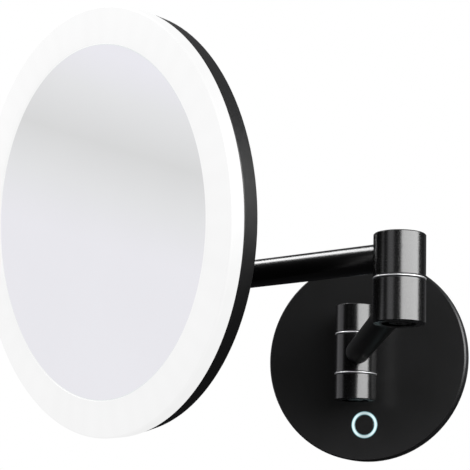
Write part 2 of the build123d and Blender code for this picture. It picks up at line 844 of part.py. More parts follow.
# White tray that throws the light forward, with the ring of LEDs on its floor
tray_in = glass_r - tray_gap
tray_out = back_r - case_t - tray_out_gap
tray_low = floor + tray_lift
tray_top = case_front - 2 * tray_gap
led_ring_r = (tray_in + tray_out) / 2
with BuildPart() as reflector_ring:
    turned(
        head,
        (tray_in, tray_low),
        (tray_out, tray_low),
        (tray_out, tray_top),
        (tray_out - tray_t, tray_top),
        (tray_out - tray_t, tray_low + tray_t),
        (tray_in + tray_t, tray_low + tray_t),
        (tray_in + tray_t, case_front - tray_gap),
        (tray_in, case_front - tray_gap),
    )
save(reflector_ring, "reflector_ring")

led_low = tray_low + tray_t + part_gap
with BuildPart() as led_board:
    board_out = tray_out - tray_t - led_board_gap
    board_in = tray_in + tray_t + led_board_gap
    tube(head, board_out, board_in, led_low, led_low + led_board_t)
save(led_board, "led_board")

with BuildPart() as leds:
    with BuildSketch(head.offset(led_low + led_board_t)) as led_feet:
        with PolarLocations(led_ring_r, led_count):
            Rectangle(led_w, led_l)
    extrude(led_feet.sketch, amount=led_h)
save(leds, "leds")

# White opal ring: lit front face and side, and an inner wall that ends in a lip
with BuildPart() as diffuser_ring:
    turned(
        head,
        (glass_r, 0),
        (head_r - opal_edge, 0),
        (head_r - opal_edge_step, -opal_edge_step),
        (head_r, -opal_edge),
        (head_r, -light_depth),
        (head_r - opal_t, -light_depth),
        (head_r - opal_t, -opal_t),
        (glass_r + opal_t, -opal_t),
        (glass_r + opal_t, lip_low),
        (lip_in, lip_low),
        (lip_in, lip_top),
        (glass_r, lip_top),
    )
save(diffuser_ring, "diffuser_ring")

# Carrier disc on the lip, screwed to the posts, with the mirror taped to it
glass_low = -glass_recess - glass_t
carrier_top = glass_low - tape_t - part_gap
carrier_low = lip_top + part_gap
screw_low = floor + carrier_screw_lift
post_axes = []
for number in range(post_count):
    turn = radians(screw_turn + number * 360 / post_count)
    out = head.x_dir * cos(turn) + head.y_dir * sin(turn)
    post_axes.append(Plane(head.origin + out * post_ring_r, x_dir=out, z_dir=glass_dir))
with BuildPart() as mirror_carrier:
    bar(head, glass_r - carrier_gap, carrier_low, carrier_top)
    for screw_axis in post_axes:
        turned(
            screw_axis,
            (0, carrier_low),
            (m3 + loose_gap, carrier_low),
            (m3 + loose_gap, carrier_top - sink_depth),
            (sink_r + 2 * running_gap, carrier_top),
            (0, carrier_top),
            mode=Mode.SUBTRACT,
        )
save(mirror_carrier, "mirror_carrier")

with BuildPart() as carrier_screws:
    for screw_axis in post_axes:
        turned(
            screw_axis,
            (0, screw_low),
            (m3, screw_low),
            (m3, carrier_top - sink_depth),
            (sink_r, carrier_top),
            (0, carrier_top),
        )
save(carrier_screws, "carrier_screws")

with BuildPart() as glass_tape:
    tube(head, glass_r - tape_inset, post_ring_r - tape_reach, glass_low - tape_t, glass_low)
save(glass_tape, "glass_tape")

with BuildPart() as mirror_glass:
    glass_out = glass_r - glass_gap
    turned(
        head,
        (0, glass_low),
        (glass_out, glass_low),
        (glass_out, -glass_recess - glass_edge),
        (glass_out - glass_edge, -glass_recess),
        (0, -glass_recess),
    )
save(mirror_glass, "mirror_glass")
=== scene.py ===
import json
import math

import bmesh
import bpy
from mathutils import Matrix, Vector


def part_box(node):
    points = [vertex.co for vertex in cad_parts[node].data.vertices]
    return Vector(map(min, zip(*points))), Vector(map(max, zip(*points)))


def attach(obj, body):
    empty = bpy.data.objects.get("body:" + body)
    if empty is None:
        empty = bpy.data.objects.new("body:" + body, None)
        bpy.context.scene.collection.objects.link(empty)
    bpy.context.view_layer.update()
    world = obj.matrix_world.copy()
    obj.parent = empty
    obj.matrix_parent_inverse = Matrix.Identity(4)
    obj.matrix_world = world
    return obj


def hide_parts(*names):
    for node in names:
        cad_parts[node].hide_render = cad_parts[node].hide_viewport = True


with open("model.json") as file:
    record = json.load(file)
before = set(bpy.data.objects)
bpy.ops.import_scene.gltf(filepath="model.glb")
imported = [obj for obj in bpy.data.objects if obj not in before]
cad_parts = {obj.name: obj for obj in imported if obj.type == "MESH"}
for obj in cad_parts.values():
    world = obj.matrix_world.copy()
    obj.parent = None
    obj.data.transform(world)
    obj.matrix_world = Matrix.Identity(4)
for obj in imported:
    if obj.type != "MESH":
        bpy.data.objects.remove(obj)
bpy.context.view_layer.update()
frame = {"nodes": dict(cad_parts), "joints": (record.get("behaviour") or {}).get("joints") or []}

nodes = frame["nodes"]
joint_of = {joint["name"]: joint for joint in frame["joints"]}


# ------------------------------------------------------------------ camera
# The viewer stands out in the room, to the right of the wall plate and a little below it,
# and looks up and to the left, so that the arm comes towards the viewer and turns back.
CAMERA_AT = Vector((0.2604, -0.8423, -0.1101))
CAMERA_YAW = 21.98
CAMERA_PITCH = 10.45
CAMERA_ROLL = 1.62
LENS_MM = 114.5
SENSOR_MM = 36
LENS_SHIFT = (-0.0255, 0.0745)

yaw, pitch, roll = (math.radians(a) for a in (CAMERA_YAW, CAMERA_PITCH, CAMERA_ROLL))
ahead = Vector((-math.sin(yaw) * math.cos(pitch), math.cos(yaw) * math.cos(pitch), math.sin(pitch)))
level = Vector((math.cos(yaw), math.sin(yaw), 0))
above = level.cross(ahead)
right = level * math.cos(roll) + above * math.sin(roll)
above = above * math.cos(roll) - level * math.sin(roll)
camera_data = bpy.data.cameras.new("camera")
camera_data.lens = LENS_MM
camera_data.sensor_width = SENSOR_MM
camera_data.shift_x, camera_data.shift_y = LENS_SHIFT
camera_data.clip_start = 0.01
camera = bpy.data.objects.new("camera", camera_data)
camera.matrix_world = Matrix.Translation(CAMERA_AT) @ Matrix((right, above, -ahead)).transposed().to_4x4()
bpy.context.scene.collection.objects.link(camera)
bpy.context.scene.camera = camera
bpy.context.scene.view_settings.view_transform = "Standard"


# ------------------------------------------------------------------ studio
# A white studio with a pale floor. A tall soft box stands on the viewer's right, a smaller one
# hangs over the arm on the left, and the left side of the room is a pale wall, which the mirror
# shows. The rest of the room is dim, so that the black stays black.
def feed(tree, target, inputs):
    """Gives a node's inputs, each a plain value or the output that feeds it."""
    for socket, value in inputs.items():
        if isinstance(value, bpy.types.NodeSocket):
            tree.links.new(value, target.inputs[socket])
        else:
            target.inputs[socket].default_value = value
    return target


def node(tree, kind, inputs, **settings):
    """A new node with its settings and inputs."""
    made = tree.nodes.new(kind)
    for setting, value in settings.items():
        setattr(made, setting, value)
    return feed(tree, made, inputs)


def maths(tree, operation, *values):
    """The result of one Math node."""
    return node(tree, "ShaderNodeMath", dict(enumerate(values)), operation=operation).outputs["Value"]


def span(tree, value, low, high, to_low=0.0, to_high=1.0):
    """A value carried smoothly from one range to another, and held at its ends."""
    made = node(
        tree,
        "ShaderNodeMapRange",
        {"Value": value, "From Min": low, "From Max": high, "To Min": to_low, "To Max": to_high},
        interpolation_type="SMOOTHSTEP",
    )
    return made.outputs["Result"]


def band(tree, value, *edges):
    """1 where a value lies inside two soft edges, each given as (outside, inside)."""
    return maths(tree, "MULTIPLY", *(span(tree, value, *edge) for edge in edges))


def mixed(tree, factor, *colours):
    """One colour passing into another. Each is an output or (red, green, blue)."""
    first, second = ((*colour, 1) if isinstance(colour, tuple) else colour for colour in colours)
    made = node(tree, "ShaderNodeMix", {"Factor": factor, 6: first, 7: second}, data_type="RGBA")
    return made.outputs[2]


def ramp(tree, factor, *stops, interpolation="LINEAR"):
    """A colour ramp from (position, colour) stops."""
    made = node(tree, "ShaderNodeValToRGB", {"Fac": factor})
    band = made.color_ramp
    band.interpolation = interpolation
    while len(band.elements) < len(stops):
        band.elements.new(0.5)
    for element, (position, colour) in zip(band.elements, stops):
        element.position = position
        element.color = (*colour, 1)
    return made.outputs["Color"]


FLOOR_Z = -0.32
FLOOR_HALF = 4.0
floor_data = bpy.data.meshes.new("floor")
floor_data.from_pydata(
    [(x * FLOOR_HALF, y * FLOOR_HALF, FLOOR_Z) for x, y in ((-1, -1), (1, -1), (1, 1), (-1, 1))],
    [],
    [(0, 1, 2, 3)],
)
floor = bpy.data.objects.new("floor", floor_data)
floor.visible_glossy = False
floor.visible_diffuse = False
bpy.context.scene.collection.objects.link(floor)
floor_paint = bpy.data.materials.new("floor_paint")
floor_paint.use_nodes = True
feed(
    floor_paint.node_tree,
    floor_paint.node_tree.nodes["Principled BSDF"],
    {
        "Base Color": (0.86, 0.86, 0.87, 1),
        "Roughness": 0.7,
        "Emission Color": (1, 1, 1, 1),
        "Emission Strength": 0.8,
    },
)
floor_data.materials.append(floor_paint)


def soft_box(name, at, towards, width, height, radiance, tint=(1, 1, 1)):
    """A rectangular soft light of a given brightness that shines from one point towards another."""
    lamp = bpy.data.lights.new(name, "AREA")
    lamp.shape = "RECTANGLE"
    lamp.size = width
    lamp.size_y = height
    lamp.energy = radiance * width * height * math.pi
    lamp.color = tint
    light = bpy.data.objects.new(name, lamp)
    light.location = at
    light.rotation_mode = "QUATERNION"
    light.rotation_quaternion = (Vector(towards) - Vector(at)).to_track_quat("-Z", "Y")
    bpy.context.scene.collection.objects.link(light)
    light.visible_camera = False
    return light


soft_box("right_soft_box", (0.62, -0.66, 0.25), (0.02, -0.58, 0.25), 1.25, 0.52, 9.4)
soft_box("arm_soft_box", (-0.50, -0.14, 0.66), (0.0, -0.18, 0.03), 0.50, 0.30, 10.5)

# The room as the object sees it. Bearings are radians to the right of straight out of the wall,
# heights are the sine of the angle above level, and each edge is given as (outside, inside).
LEVEL_BAND = ((-0.34, -0.16), (0.62, 0.42))
LEFT_WALL = ((-0.97, -1.04), (-1.98, -1.72))
WINDOW = ((-0.12, -0.22), (-0.72, -0.56))
SLANT_LEAN = 0.527
SLANT_START = 0.749
SLANT_WIDTH = 0.2
room = bpy.data.worlds.new("studio")
bpy.context.scene.world = room
room.use_nodes = True
room_tree = room.node_tree
room_tree.nodes.clear()
looking = room_tree.nodes.new("ShaderNodeTexCoord").outputs["Generated"]
towards = node(room_tree, "ShaderNodeSeparateXYZ", {0: looking}).outputs
bearing = maths(room_tree, "ARCTAN2", towards["X"], maths(room_tree, "MULTIPLY", towards["Y"], -1.0))
height = towards["Z"]
level_band = band(room_tree, height, *LEVEL_BAND)
left_wall = maths(room_tree, "MULTIPLY", band(room_tree, bearing, *LEFT_WALL), level_band)
window = maths(room_tree, "MULTIPLY", band(room_tree, bearing, *WINDOW), level_band)
start = maths(room_tree, "ADD", height, SLANT_START)
slant = maths(room_tree, "MULTIPLY_ADD", bearing, SLANT_LEAN, start)
left_paint = ramp(
    room_tree,
    span(room_tree, slant, 0.0, SLANT_WIDTH),
    (0.05, (0.88, 0.87, 0.91)),
    (0.26, (0.82, 0.82, 0.83)),
    (0.50, (0.735, 0.735, 0.735)),
    (0.76, (0.83, 0.83, 0.84)),
    (0.92, (0.89, 0.88, 0.93)),
)
dim_room = ramp(room_tree, height, (0.60, (0.024, 0.024, 0.026)), (0.86, (0.26, 0.26, 0.27)))
behind = span(room_tree, maths(room_tree, "ABSOLUTE", bearing), 2.45, 2.75)
behind = maths(room_tree, "MULTIPLY", behind, span(room_tree, height, -0.10, 0.10))
dim_room = mixed(room_tree, behind, dim_room, (0.16, 0.16, 0.165))
lit_room = mixed(room_tree, window, dim_room, (1.25, 1.25, 1.28))
room_colour = mixed(room_tree, left_wall, lit_room, left_paint)
surround = node(room_tree, "ShaderNodeBackground", {"Color": room_colour})
backdrop = node(room_tree, "ShaderNodeBackground", {"Color": (1, 1, 1, 1)})
seen = node(
    room_tree,
    "ShaderNodeMixShader",
    {
        0: room_tree.nodes.new("ShaderNodeLightPath").outputs["Is Camera Ray"],
        1: surround.outputs["Background"],
        2: backdrop.outputs["Background"],
    },
)
node(room_tree, "ShaderNodeOutputWorld", {"Surface": seen.outputs["Shader"]})


# ------------------------------------------------------------------ wall bracket
# A pressed and zinc-plated steel disc, with two bosses that take the hinge stems and a block
# for the cover's grub screw. The plating has a faint cloudy spangle and fine rolling marks.
def effect(name, inputs, outputs):
    """A shader node group with named inputs, given as (label, value), and named value outputs."""
    group = bpy.data.node_groups.new(name, "ShaderNodeTree")
    for label, value in inputs:
        kind = "NodeSocketVector" if isinstance(value, tuple) else "NodeSocketFloat"
        group.interface.new_socket(label, in_out="INPUT", socket_type=kind).default_value = value
    for label in outputs:
        group.interface.new_socket(label, in_out="OUTPUT", socket_type="NodeSocketFloat")
    return group, group.nodes.new("NodeGroupInput").outputs, group.nodes.new("NodeGroupOutput")


def vectors(tree, operation, *values):
    """The outputs of one Vector Math node."""
    return node(tree, "ShaderNodeVectorMath", dict(enumerate(values)), operation=operation).outputs


def placed(tree, group, **values):
    """An effect placed in another tree with its own values; underscores stand for spaces."""
    inputs = {label.replace("_", " "): value for label, value in values.items()}
    made = tree.nodes.new("ShaderNodeGroup")
    made.node_tree = group
    return feed(tree, made, inputs).outputs


def object_place(tree):
    """Object coordinates, in metres."""
    return tree.nodes.new("ShaderNodeTexCoord").outputs["Object"]


# Fine grain over slow cloudy patches: Scale is the number of grains to a metre
fine_grain, grain_in, grain_out = effect(
    "fine_grain", [("Scale", 2500.0), ("Patch Scale", 60.0)], ["Grain", "Patches"]
)
for output, scale, detail in (("Grain", "Scale", 3.0), ("Patches", "Patch Scale", 4.0)):
    noise = node(
        fine_grain,
        "ShaderNodeTexNoise",
        {"Vector": object_place(fine_grain), "Scale": grain_in[scale], "Detail": detail, "Roughness": 0.6},
    )
    feed(fine_grain, grain_out, {output: noise.outputs["Fac"]})

# Rubbed edges: a mask that is 1 where two faces meet within Width, broken up by Breakup
edge_wear, wear_in, wear_out = effect("edge_wear", [("Width", 0.0003), ("Breakup", 900.0)], ["Worn"])
soft_normal = node(edge_wear, "ShaderNodeBevel", {"Radius": wear_in["Width"]}, samples=4)
flat_normal = edge_wear.nodes.new("ShaderNodeNewGeometry").outputs["Normal"]
agreement = vectors(edge_wear, "DOT_PRODUCT", soft_normal.outputs["Normal"], flat_normal)
chips = node(
    edge_wear,
    "ShaderNodeTexNoise",
    {"Vector": object_place(edge_wear), "Scale": wear_in["Breakup"], "Detail": 2.0},
)
worn = maths(
    edge_wear,
    "MULTIPLY",
    span(edge_wear, agreement["Value"], 0.995, 0.93),
    span(edge_wear, chips.outputs["Fac"], 0.35, 0.6),
)
feed(edge_wear, wear_out, {"Worn": worn})

# Where a point lies about an axis through Origin: how far along it, and how far out from it
axis_place, place_in, place_out = effect(
    "axis_place", [("Origin", (0.0, 0.0, 0.0)), ("Axis", (0.0, 0.0, 1.0))], ["Along", "Out"]
)
from_origin = vectors(axis_place, "SUBTRACT", object_place(axis_place), place_in["Origin"])["Vector"]
across = vectors(axis_place, "CROSS_PRODUCT", from_origin, place_in["Axis"])["Vector"]
feed(
    axis_place,
    place_out,
    {
        "Along": vectors(axis_place, "DOT_PRODUCT", from_origin, place_in["Axis"])["Value"],
        "Out": vectors(axis_place, "LENGTH", across)["Value"],
    },
)

# Turning marks: fine rings round an axis through Origin, across faces and along sides
turning_marks, marks_in, marks_out = effect(
    "turning_marks", [("Origin", (0.0, 0.0, 0.0)), ("Axis", (0.0, 0.0, 1.0)), ("Scale", 3000.0)], ["Marks"]
)
spot = placed(turning_marks, axis_place, Origin=marks_in["Origin"], Axis=marks_in["Axis"])
ring_place = node(turning_marks, "ShaderNodeCombineXYZ", {"X": spot["Along"], "Y": spot["Out"]})
rings = node(
    turning_marks,
    "ShaderNodeTexNoise",
    {"Vector": ring_place.outputs["Vector"], "Scale": marks_in["Scale"], "Detail": 2.0, "Roughness": 0.7},
    noise_dimensions="2D",
)
feed(turning_marks, marks_out, {"Marks": rings.outputs["Fac"]})


def finish(name, **constants):
    """A new material, with what is the same all over it set on its shader's own sockets."""
    material = bpy.data.materials.new(name)
    material.use_nodes = True
    shader = material.node_tree.nodes["Principled BSDF"]
    feed(material.node_tree, shader, {label.replace("_", " "): value for label, value in constants.items()})
    return material, material.node_tree, shader


def bump(tree, shader, height, depth):
    """Raises a surface by a height map, depth metres deep."""
    made = node(tree, "ShaderNodeBump", {"Height": height, "Distance": depth, "Strength": 1.0})
    feed(tree, shader, {"Normal": made.outputs["Normal"]})


def paint(material, *names):
    """Gives CAD nodes a material in place of their plain one."""
    for name in names:
        nodes[name].data.materials.clear()
        nodes[name].data.materials.append(material)


zinc_plate, tree, shader = finish("zinc_plate", Metallic=1.0)
grain = placed(tree, fine_grain, Scale=1800.0, Patch_Scale=140.0)
worn = placed(tree, edge_wear, Width=0.0004)["Worn"]
tone = ramp(tree, grain["Patches"], (0.35, (0.50, 0.52, 0.55)), (0.65, (0.68, 0.69, 0.70)))
bright = mixed(tree, worn, tone, (0.8, 0.8, 0.8))
rough = span(tree, grain["Patches"], 0.3, 0.7, 0.30, 0.48)
feed(tree, shader, {"Base Color": bright, "Roughness": rough})
bump(tree, shader, grain["Grain"], 0.00002)
paint(zinc_plate, "wall_bracket", "mount_backing_plate")


# ------------------------------------------------------------------ gasket and grommet
# Two rubber rings. One lies between the cover's rim and the wall, and the other lines the
# bracket's middle hole, where the supply lead comes in. Both are moulded in black rubber.
def rounded(corners, steps=5):
    """An outline of (radius, height) points from corners given as (radius, height, rounding)."""
    outline = []
    for number, (out, up, size) in enumerate(corners):
        here = Vector((out, up))
        if not size:
            outline.append(here)
            continue
        back = (Vector(corners[number - 1][:2]) - here).normalized()
        onward = (Vector(corners[(number + 1) % len(corners)][:2]) - here).normalized()
        half = back.angle(onward) / 2
        centre = here + (back + onward).normalized() * size / math.sin(half)
        start = here + back * size / math.tan(half)
        end = here + onward * size / math.tan(half)
        for step in range(steps + 1):
            outline.append(centre + (start.lerp(end, step / steps) - centre).normalized() * size)
    return outline


def link(name, data):
    """A new piece, at the origin, whose place is in its mesh."""
    piece = bpy.data.objects.new(name, data)
    bpy.context.scene.collection.objects.link(piece)
    return piece


def smooth(data, sharp=35):
    """Smooth faces that break at sharp edges, given in degrees."""
    data.shade_smooth()
    data.set_sharp_from_angle(angle=math.radians(sharp))


def turned(name, place, outline, steps=128, knurl=0.0):
    """A solid turned round a place's Z axis. Knurl sinks every second step of its widest side."""
    build = bmesh.new()
    widest = max(point[0] for point in outline)
    rings = []
    for out, up in outline:
        ring = []
        for step in range(steps if out > 1e-7 else 1):
            turn = 2 * math.pi * step / steps
            away = out - (knurl if step % 2 and widest - out < knurl / 2 else 0)
            ring.append(build.verts.new((away * math.cos(turn), away * math.sin(turn), up)))
        rings.append(ring)
    for low, high in zip(rings, rings[1:] + rings[:1]):
        for step in range(steps):
            onward = (step + 1) % steps
            below = [low[step % len(low)], low[onward % len(low)]]
            above = [high[onward % len(high)], high[step % len(high)]]
            corners = list(dict.fromkeys(below + above))
            if len(corners) > 2:
                build.faces.new(corners)
    bmesh.ops.recalc_face_normals(build, faces=build.faces)
    data = bpy.data.meshes.new(name)
    build.to_mesh(data)
    build.free()
    data.transform(place)
    smooth(data)
    return link(name, data)


def place_at(origin, x_dir, z_dir):
    """A place from its origin, its X and its Z."""
    z_dir = Vector(z_dir).normalized()
    y_dir = z_dir.cross(Vector(x_dir)).normalized()
    axes = Matrix((y_dir.cross(z_dir), y_dir, z_dir)).transposed()
    return Matrix.Translation(Vector(origin)) @ axes.to_4x4()


def reach(name, place):
    """A round CAD node's inner radius, outer radius, low end and high end in a place."""
    away = place.inverted()
    points = [away @ vertex.co for vertex in nodes[name].data.vertices]
    radii = [math.hypot(point.x, point.y) for point in points]
    ends = [point.z for point in points]
    return min(radii), max(radii), min(ends), max(ends)


def handed_over(piece, material, body, slot, *replaced):
    """Finishes a piece: its material, its body and the CAD nodes it stands for. Its slot is not used."""
    piece.data.materials.clear()
    piece.data.materials.append(material)
    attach(piece, body)
    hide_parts(*replaced)


def patchy(tree, grain, dark, light):
    """A colour that drifts between two shades with the patches of a grain."""
    return ramp(tree, grain["Patches"], (0.3, dark), (0.7, light))


wall_place = place_at((0, 0, 0), (1, 0, 0), (0, -1, 0))
moulded_rubber, tree, shader = finish("moulded_rubber", Specular_IOR_Level=0.35)
grain = placed(tree, fine_grain, Scale=1400.0, Patch_Scale=90.0)
tone = patchy(tree, grain, (0.012, 0.012, 0.012), (0.030, 0.030, 0.031))
feed(tree, shader, {"Base Color": tone, "Roughness": span(tree, grain["Grain"], 0.3, 0.7, 0.62, 0.80)})
bump(tree, shader, grain["Grain"], 0.00004)

inner, outer, low, high = reach("wall_seal", wall_place)
bead = (high - low) * 0.45
wall_gasket = turned(
    "wall_gasket",
    wall_place,
    rounded([(inner, low, bead), (outer, low, bead), (outer, high, bead), (inner, high, bead)]),
    steps=192,
)
handed_over(wall_gasket, moulded_rubber, "wall_base", "rubber", "wall_seal")

inner, outer, low, high = reach("cable_grommet", wall_place)
GROMMET_FLANGE = 0.0014
GROMMET_GAP = 0.00005
bracket_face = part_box("led_driver")[1].y * -1 + GROMMET_GAP
neck = outer - GROMMET_FLANGE
lead_grommet = turned(
    "lead_grommet",
    wall_place,
    rounded(
        [
            (inner, low, 0.0004),
            (neck, low, 0.0002),
            (neck, bracket_face, 0),
            (outer, bracket_face, 0.0003),
            (outer, high, 0.0004),
            (inner, high, 0.0004),
        ]
    ),
    steps=96,
)
handed_over(lead_grommet, moulded_rubber, "wall_base", "rubber", "cable_grommet")


# ------------------------------------------------------------------ cover
# A shallow dish of spun steel with a bevelled rim, powder coated in fine satin black. The
# coating is a little finer than on the arms and takes a soft sheen.
def black_coat(name, roughness, grain_scale, depth, tone=0.003, wear_and_highlight=0.1, marks=None, ior=1.5):
    """A satin black coating with a fine grain, faint patches and rubbed edges lightened towards grey,
    partly wear and partly a painted edge highlight. Marks are the origin, axis and scale of the turning
    marks that show through it."""
    material, tree, shader = finish(name, IOR=ior)
    grain = placed(tree, fine_grain, Scale=grain_scale, Patch_Scale=45.0)
    worn = placed(tree, edge_wear, Width=0.00035)["Worn"]
    black = patchy(tree, grain, (tone * 0.7,) * 3, (tone, tone, tone * 1.06))
    # Edges lightened towards grey: partly rubbed wear, partly a painted edge highlight
    rub_and_highlight = maths(tree, "MULTIPLY", worn, wear_and_highlight)
    rubbed_and_highlit = mixed(tree, rub_and_highlight, black, (0.22, 0.22, 0.23))
    sheen = span(tree, grain["Grain"], 0.25, 0.75, roughness - 0.05, roughness + 0.05)
    raised = grain["Grain"]
    if marks:
        lines = placed(tree, turning_marks, Origin=marks[0], Axis=marks[1], Scale=marks[2])["Marks"]
        raised = maths(tree, "MULTIPLY_ADD", lines, 0.6, raised)
    rough = maths(tree, "MULTIPLY_ADD", rub_and_highlight, -0.08, sheen)
    feed(tree, shader, {"Base Color": rubbed_and_highlit, "Roughness": rough})
    bump(tree, shader, raised, depth)
    return material


cover_coat = black_coat("cover_coat", 0.38, 2200.0, 0.000012, tone=0.006)
paint(cover_coat, "cover_plate")


# ------------------------------------------------------------------ fasteners
# The small steel parts. Those on show are blackened to match the coating, and the pins, clips
# and screws inside the hinges are plain bright steel with turning marks.
def steel(name, dark, light, roughness, marks_scale):
    """Bare or blackened steel with a fine grain and rubbed edges."""
    material, tree, shader = finish(name, Metallic=1.0)
    grain = placed(tree, fine_grain, Scale=marks_scale, Patch_Scale=300.0)
    worn = placed(tree, edge_wear, Width=0.0002)["Worn"]
    tone = patchy(tree, grain, (dark,) * 3, (light, light, light * 1.02))
    edge = mixed(tree, maths(tree, "MULTIPLY", worn, 0.5), tone, (0.75, 0.75, 0.76))
    rough = span(tree, grain["Grain"], 0.3, 0.7, roughness - 0.06, roughness + 0.06)
    feed(tree, shader, {"Base Color": edge, "Roughness": rough})
    bump(tree, shader, grain["Grain"], 0.000006)
    return material


bright_steel = steel("bright_steel", 0.50, 0.64, 0.27, 2600.0)
blackened_steel = steel("blackened_steel", 0.035, 0.06, 0.34, 2600.0)
paint(
    bright_steel,
    "barrel_screws", "wall_pin", "elbow_pin", "elbow_circlip", "elbow_spring_washer",
    "head_pin", "head_circlip", "head_spring_washer", "tilt_pin",
)
paint(blackened_steel, "cover_screw", "inner_arm_grub_screws", "outer_arm_grub_screws")


def cut(piece, operation, cutter):
    """Cuts a piece with another, or keeps what they share, and drops the cutter."""
    knife = piece.modifiers.new("cut", "BOOLEAN")
    knife.operation = operation
    knife.object = cutter
    knife.solver = "EXACT"
    evaluated = piece.evaluated_get(bpy.context.evaluated_depsgraph_get())
    piece.data = bpy.data.meshes.new_from_object(evaluated)
    piece.modifiers.remove(knife)
    bpy.data.objects.remove(cutter)
    smooth(piece.data)
    return piece


def hexagon(name, place, across, low, high):
    """A hexagonal prism along a place's Z axis, from its size across flats."""
    corner = across / math.sqrt(3)
    return turned(name, place, [(0, low), (corner, low), (corner, high), (0, high)], steps=6)


def socket_screw(name, place, head_r, head_h, shank_r, shank_l, across, knurl=0.0, sink=0.0):
    """A screw with a hexagonal socket. Its head stands on the place, and its shank goes down from
    there. Sink is how far the head tapers in, on a countersunk one."""
    head = [(head_r - sink, 0, 0), (head_r, sink, 0)] if sink else [(head_r, 0, head_h * 0.1)]
    outline = rounded(
        [(0, -shank_l, 0), (shank_r, -shank_l, shank_r * 0.25), (shank_r, 0, 0), *head]
        + [(head_r, head_h, min(head_h * 0.3, head_r * 0.2)), (across * 0.7, head_h, 0), (0, head_h, 0)]
    )
    screw = turned(name, place, outline, steps=96, knurl=knurl)
    return cut(screw, "DIFFERENCE", hexagon("socket", place, across, head_h * 0.3, head_h * 2))


# ------------------------------------------------------------------ hinges
# Turned brass barrels under a satin black coating: two on the wall plate and one between them,
# two at the elbow and one below the mirror's fork. Turning marks run round them.
barrel_coat = black_coat(
    "barrel_coat",
    0.24,
    2600.0,
    0.000006,
    tone=0.002,
    wear_and_highlight=0.15,
    marks=((0, 0, 0), (0, 0, 1), 2200.0),
    ior=1.6,
)
arm_coat = black_coat("arm_coat", 0.22, 2400.0, 0.000006, tone=0.002, wear_and_highlight=0.1, ior=1.6)
inner_arm_coat = black_coat("inner_arm_coat", 0.44, 2400.0, 0.00001, tone=0.004, wear_and_highlight=0.1, ior=1.4)
paint(
    barrel_coat,
    "upper_wall_barrel", "lower_wall_barrel", "wall_mid_barrel", "elbow_lower_barrel",
    "elbow_upper_barrel", "head_lower_barrel", "yoke", "elbow_cap",
)
paint(arm_coat, "outer_arm_tube")
paint(inner_arm_coat, "inner_arm_tube")

wall_hinge = place_at(joint_of["wall_swivel"]["pos_m"], (1, 0, 0), (0, 0, 1))
elbow = place_at(joint_of["elbow_swivel"]["pos_m"], (1, 0, 0), (0, 0, 1))
swivel_at = Vector(joint_of["head_swivel"]["pos_m"])
head_swivel = place_at((swivel_at.x, swivel_at.y, 0), (1, 0, 0), (0, 0, 1))
PIN_HEAD_H = 0.0011
PIN_SHANK_R = 0.00215
M4_SOCKET = 0.003
for name, place, body, replaced in (
    ("wall_hinge_screw", wall_hinge, "wall_base", "wall_pin_screw"),
    ("elbow_hinge_screw", elbow, "inner_arm", "elbow_pin_screw"),
    ("head_hinge_screw", head_swivel, "outer_arm", "head_pin_screw"),
):
    inner, head_r, low, high = reach(replaced, place)
    seat = place @ Matrix.Translation((0, 0, low + PIN_HEAD_H)) @ Matrix.Rotation(math.pi, 4, "X")
    shank_l = high - low - PIN_HEAD_H
    screw = socket_screw(name, seat, head_r, PIN_HEAD_H, PIN_SHANK_R, shank_l, M4_SOCKET)
    handed_over(screw, blackened_steel, body, "blackened_steel", replaced)

# Washers between the barrels: bright rings with a rounded rim that stands just proud
polished_rim, tree, shader = finish("polished_rim", Metallic=1.0)
grain = placed(tree, fine_grain, Scale=1500.0, Patch_Scale=120.0)
tone = patchy(tree, grain, (0.86, 0.86, 0.87), (0.93, 0.93, 0.94))
feed(tree, shader, {"Base Color": tone, "Roughness": span(tree, grain["Grain"], 0.2, 0.8, 0.44, 0.54)})


def rim_washer(name, place, low, high, inner, outer):
    """A flat washer with a half-round rim."""
    rim = (high - low) / 2 * 0.98
    outline = rounded([(inner, low, 0), (outer, low, rim), (outer, high, rim), (inner, high, 0)])
    return turned(name, place, outline, steps=160)


inner, outer, low, high = reach("wall_washers", wall_hinge)
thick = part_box("elbow_washer")[1].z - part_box("elbow_washer")[0].z
upper_wall_washer = rim_washer("upper_wall_washer", wall_hinge, high - thick, high, inner, outer)
handed_over(upper_wall_washer, polished_rim, "wall_base", "polished_steel", "wall_washers")
lower_wall_washer = rim_washer("lower_wall_washer", wall_hinge, low, low + thick, inner, outer)
handed_over(lower_wall_washer, polished_rim, "wall_base", "polished_steel", "wall_washers")
for name, place, body, replaced in (
    ("elbow_rim_washer", elbow, "inner_arm", "elbow_washer"),
    ("head_rim_washer", head_swivel, "outer_arm", "head_washer"),
):
    inner, outer, low, high = reach(replaced, place)
    washer = rim_washer(name, place, low, high, inner, outer)
    handed_over(washer, polished_rim, body, "polished_steel", replaced)

# Acetal bushes and tilt washers: a waxy off-white plastic
bearing_plastic, tree, shader = finish(
    "bearing_plastic", Subsurface_Weight=0.15, Subsurface_Radius=(0.002, 0.0015, 0.001)
)
grain = placed(tree, fine_grain, Scale=1600.0, Patch_Scale=80.0)
tone = patchy(tree, grain, (0.66, 0.63, 0.53), (0.76, 0.73, 0.63))
feed(tree, shader, {"Base Color": tone, "Roughness": span(tree, grain["Grain"], 0.3, 0.7, 0.38, 0.5)})
bump(tree, shader, grain["Grain"], 0.000008)
paint(bearing_plastic, "wall_bushes", "elbow_bush", "head_bush", "tilt_washers", "tilt_bush")


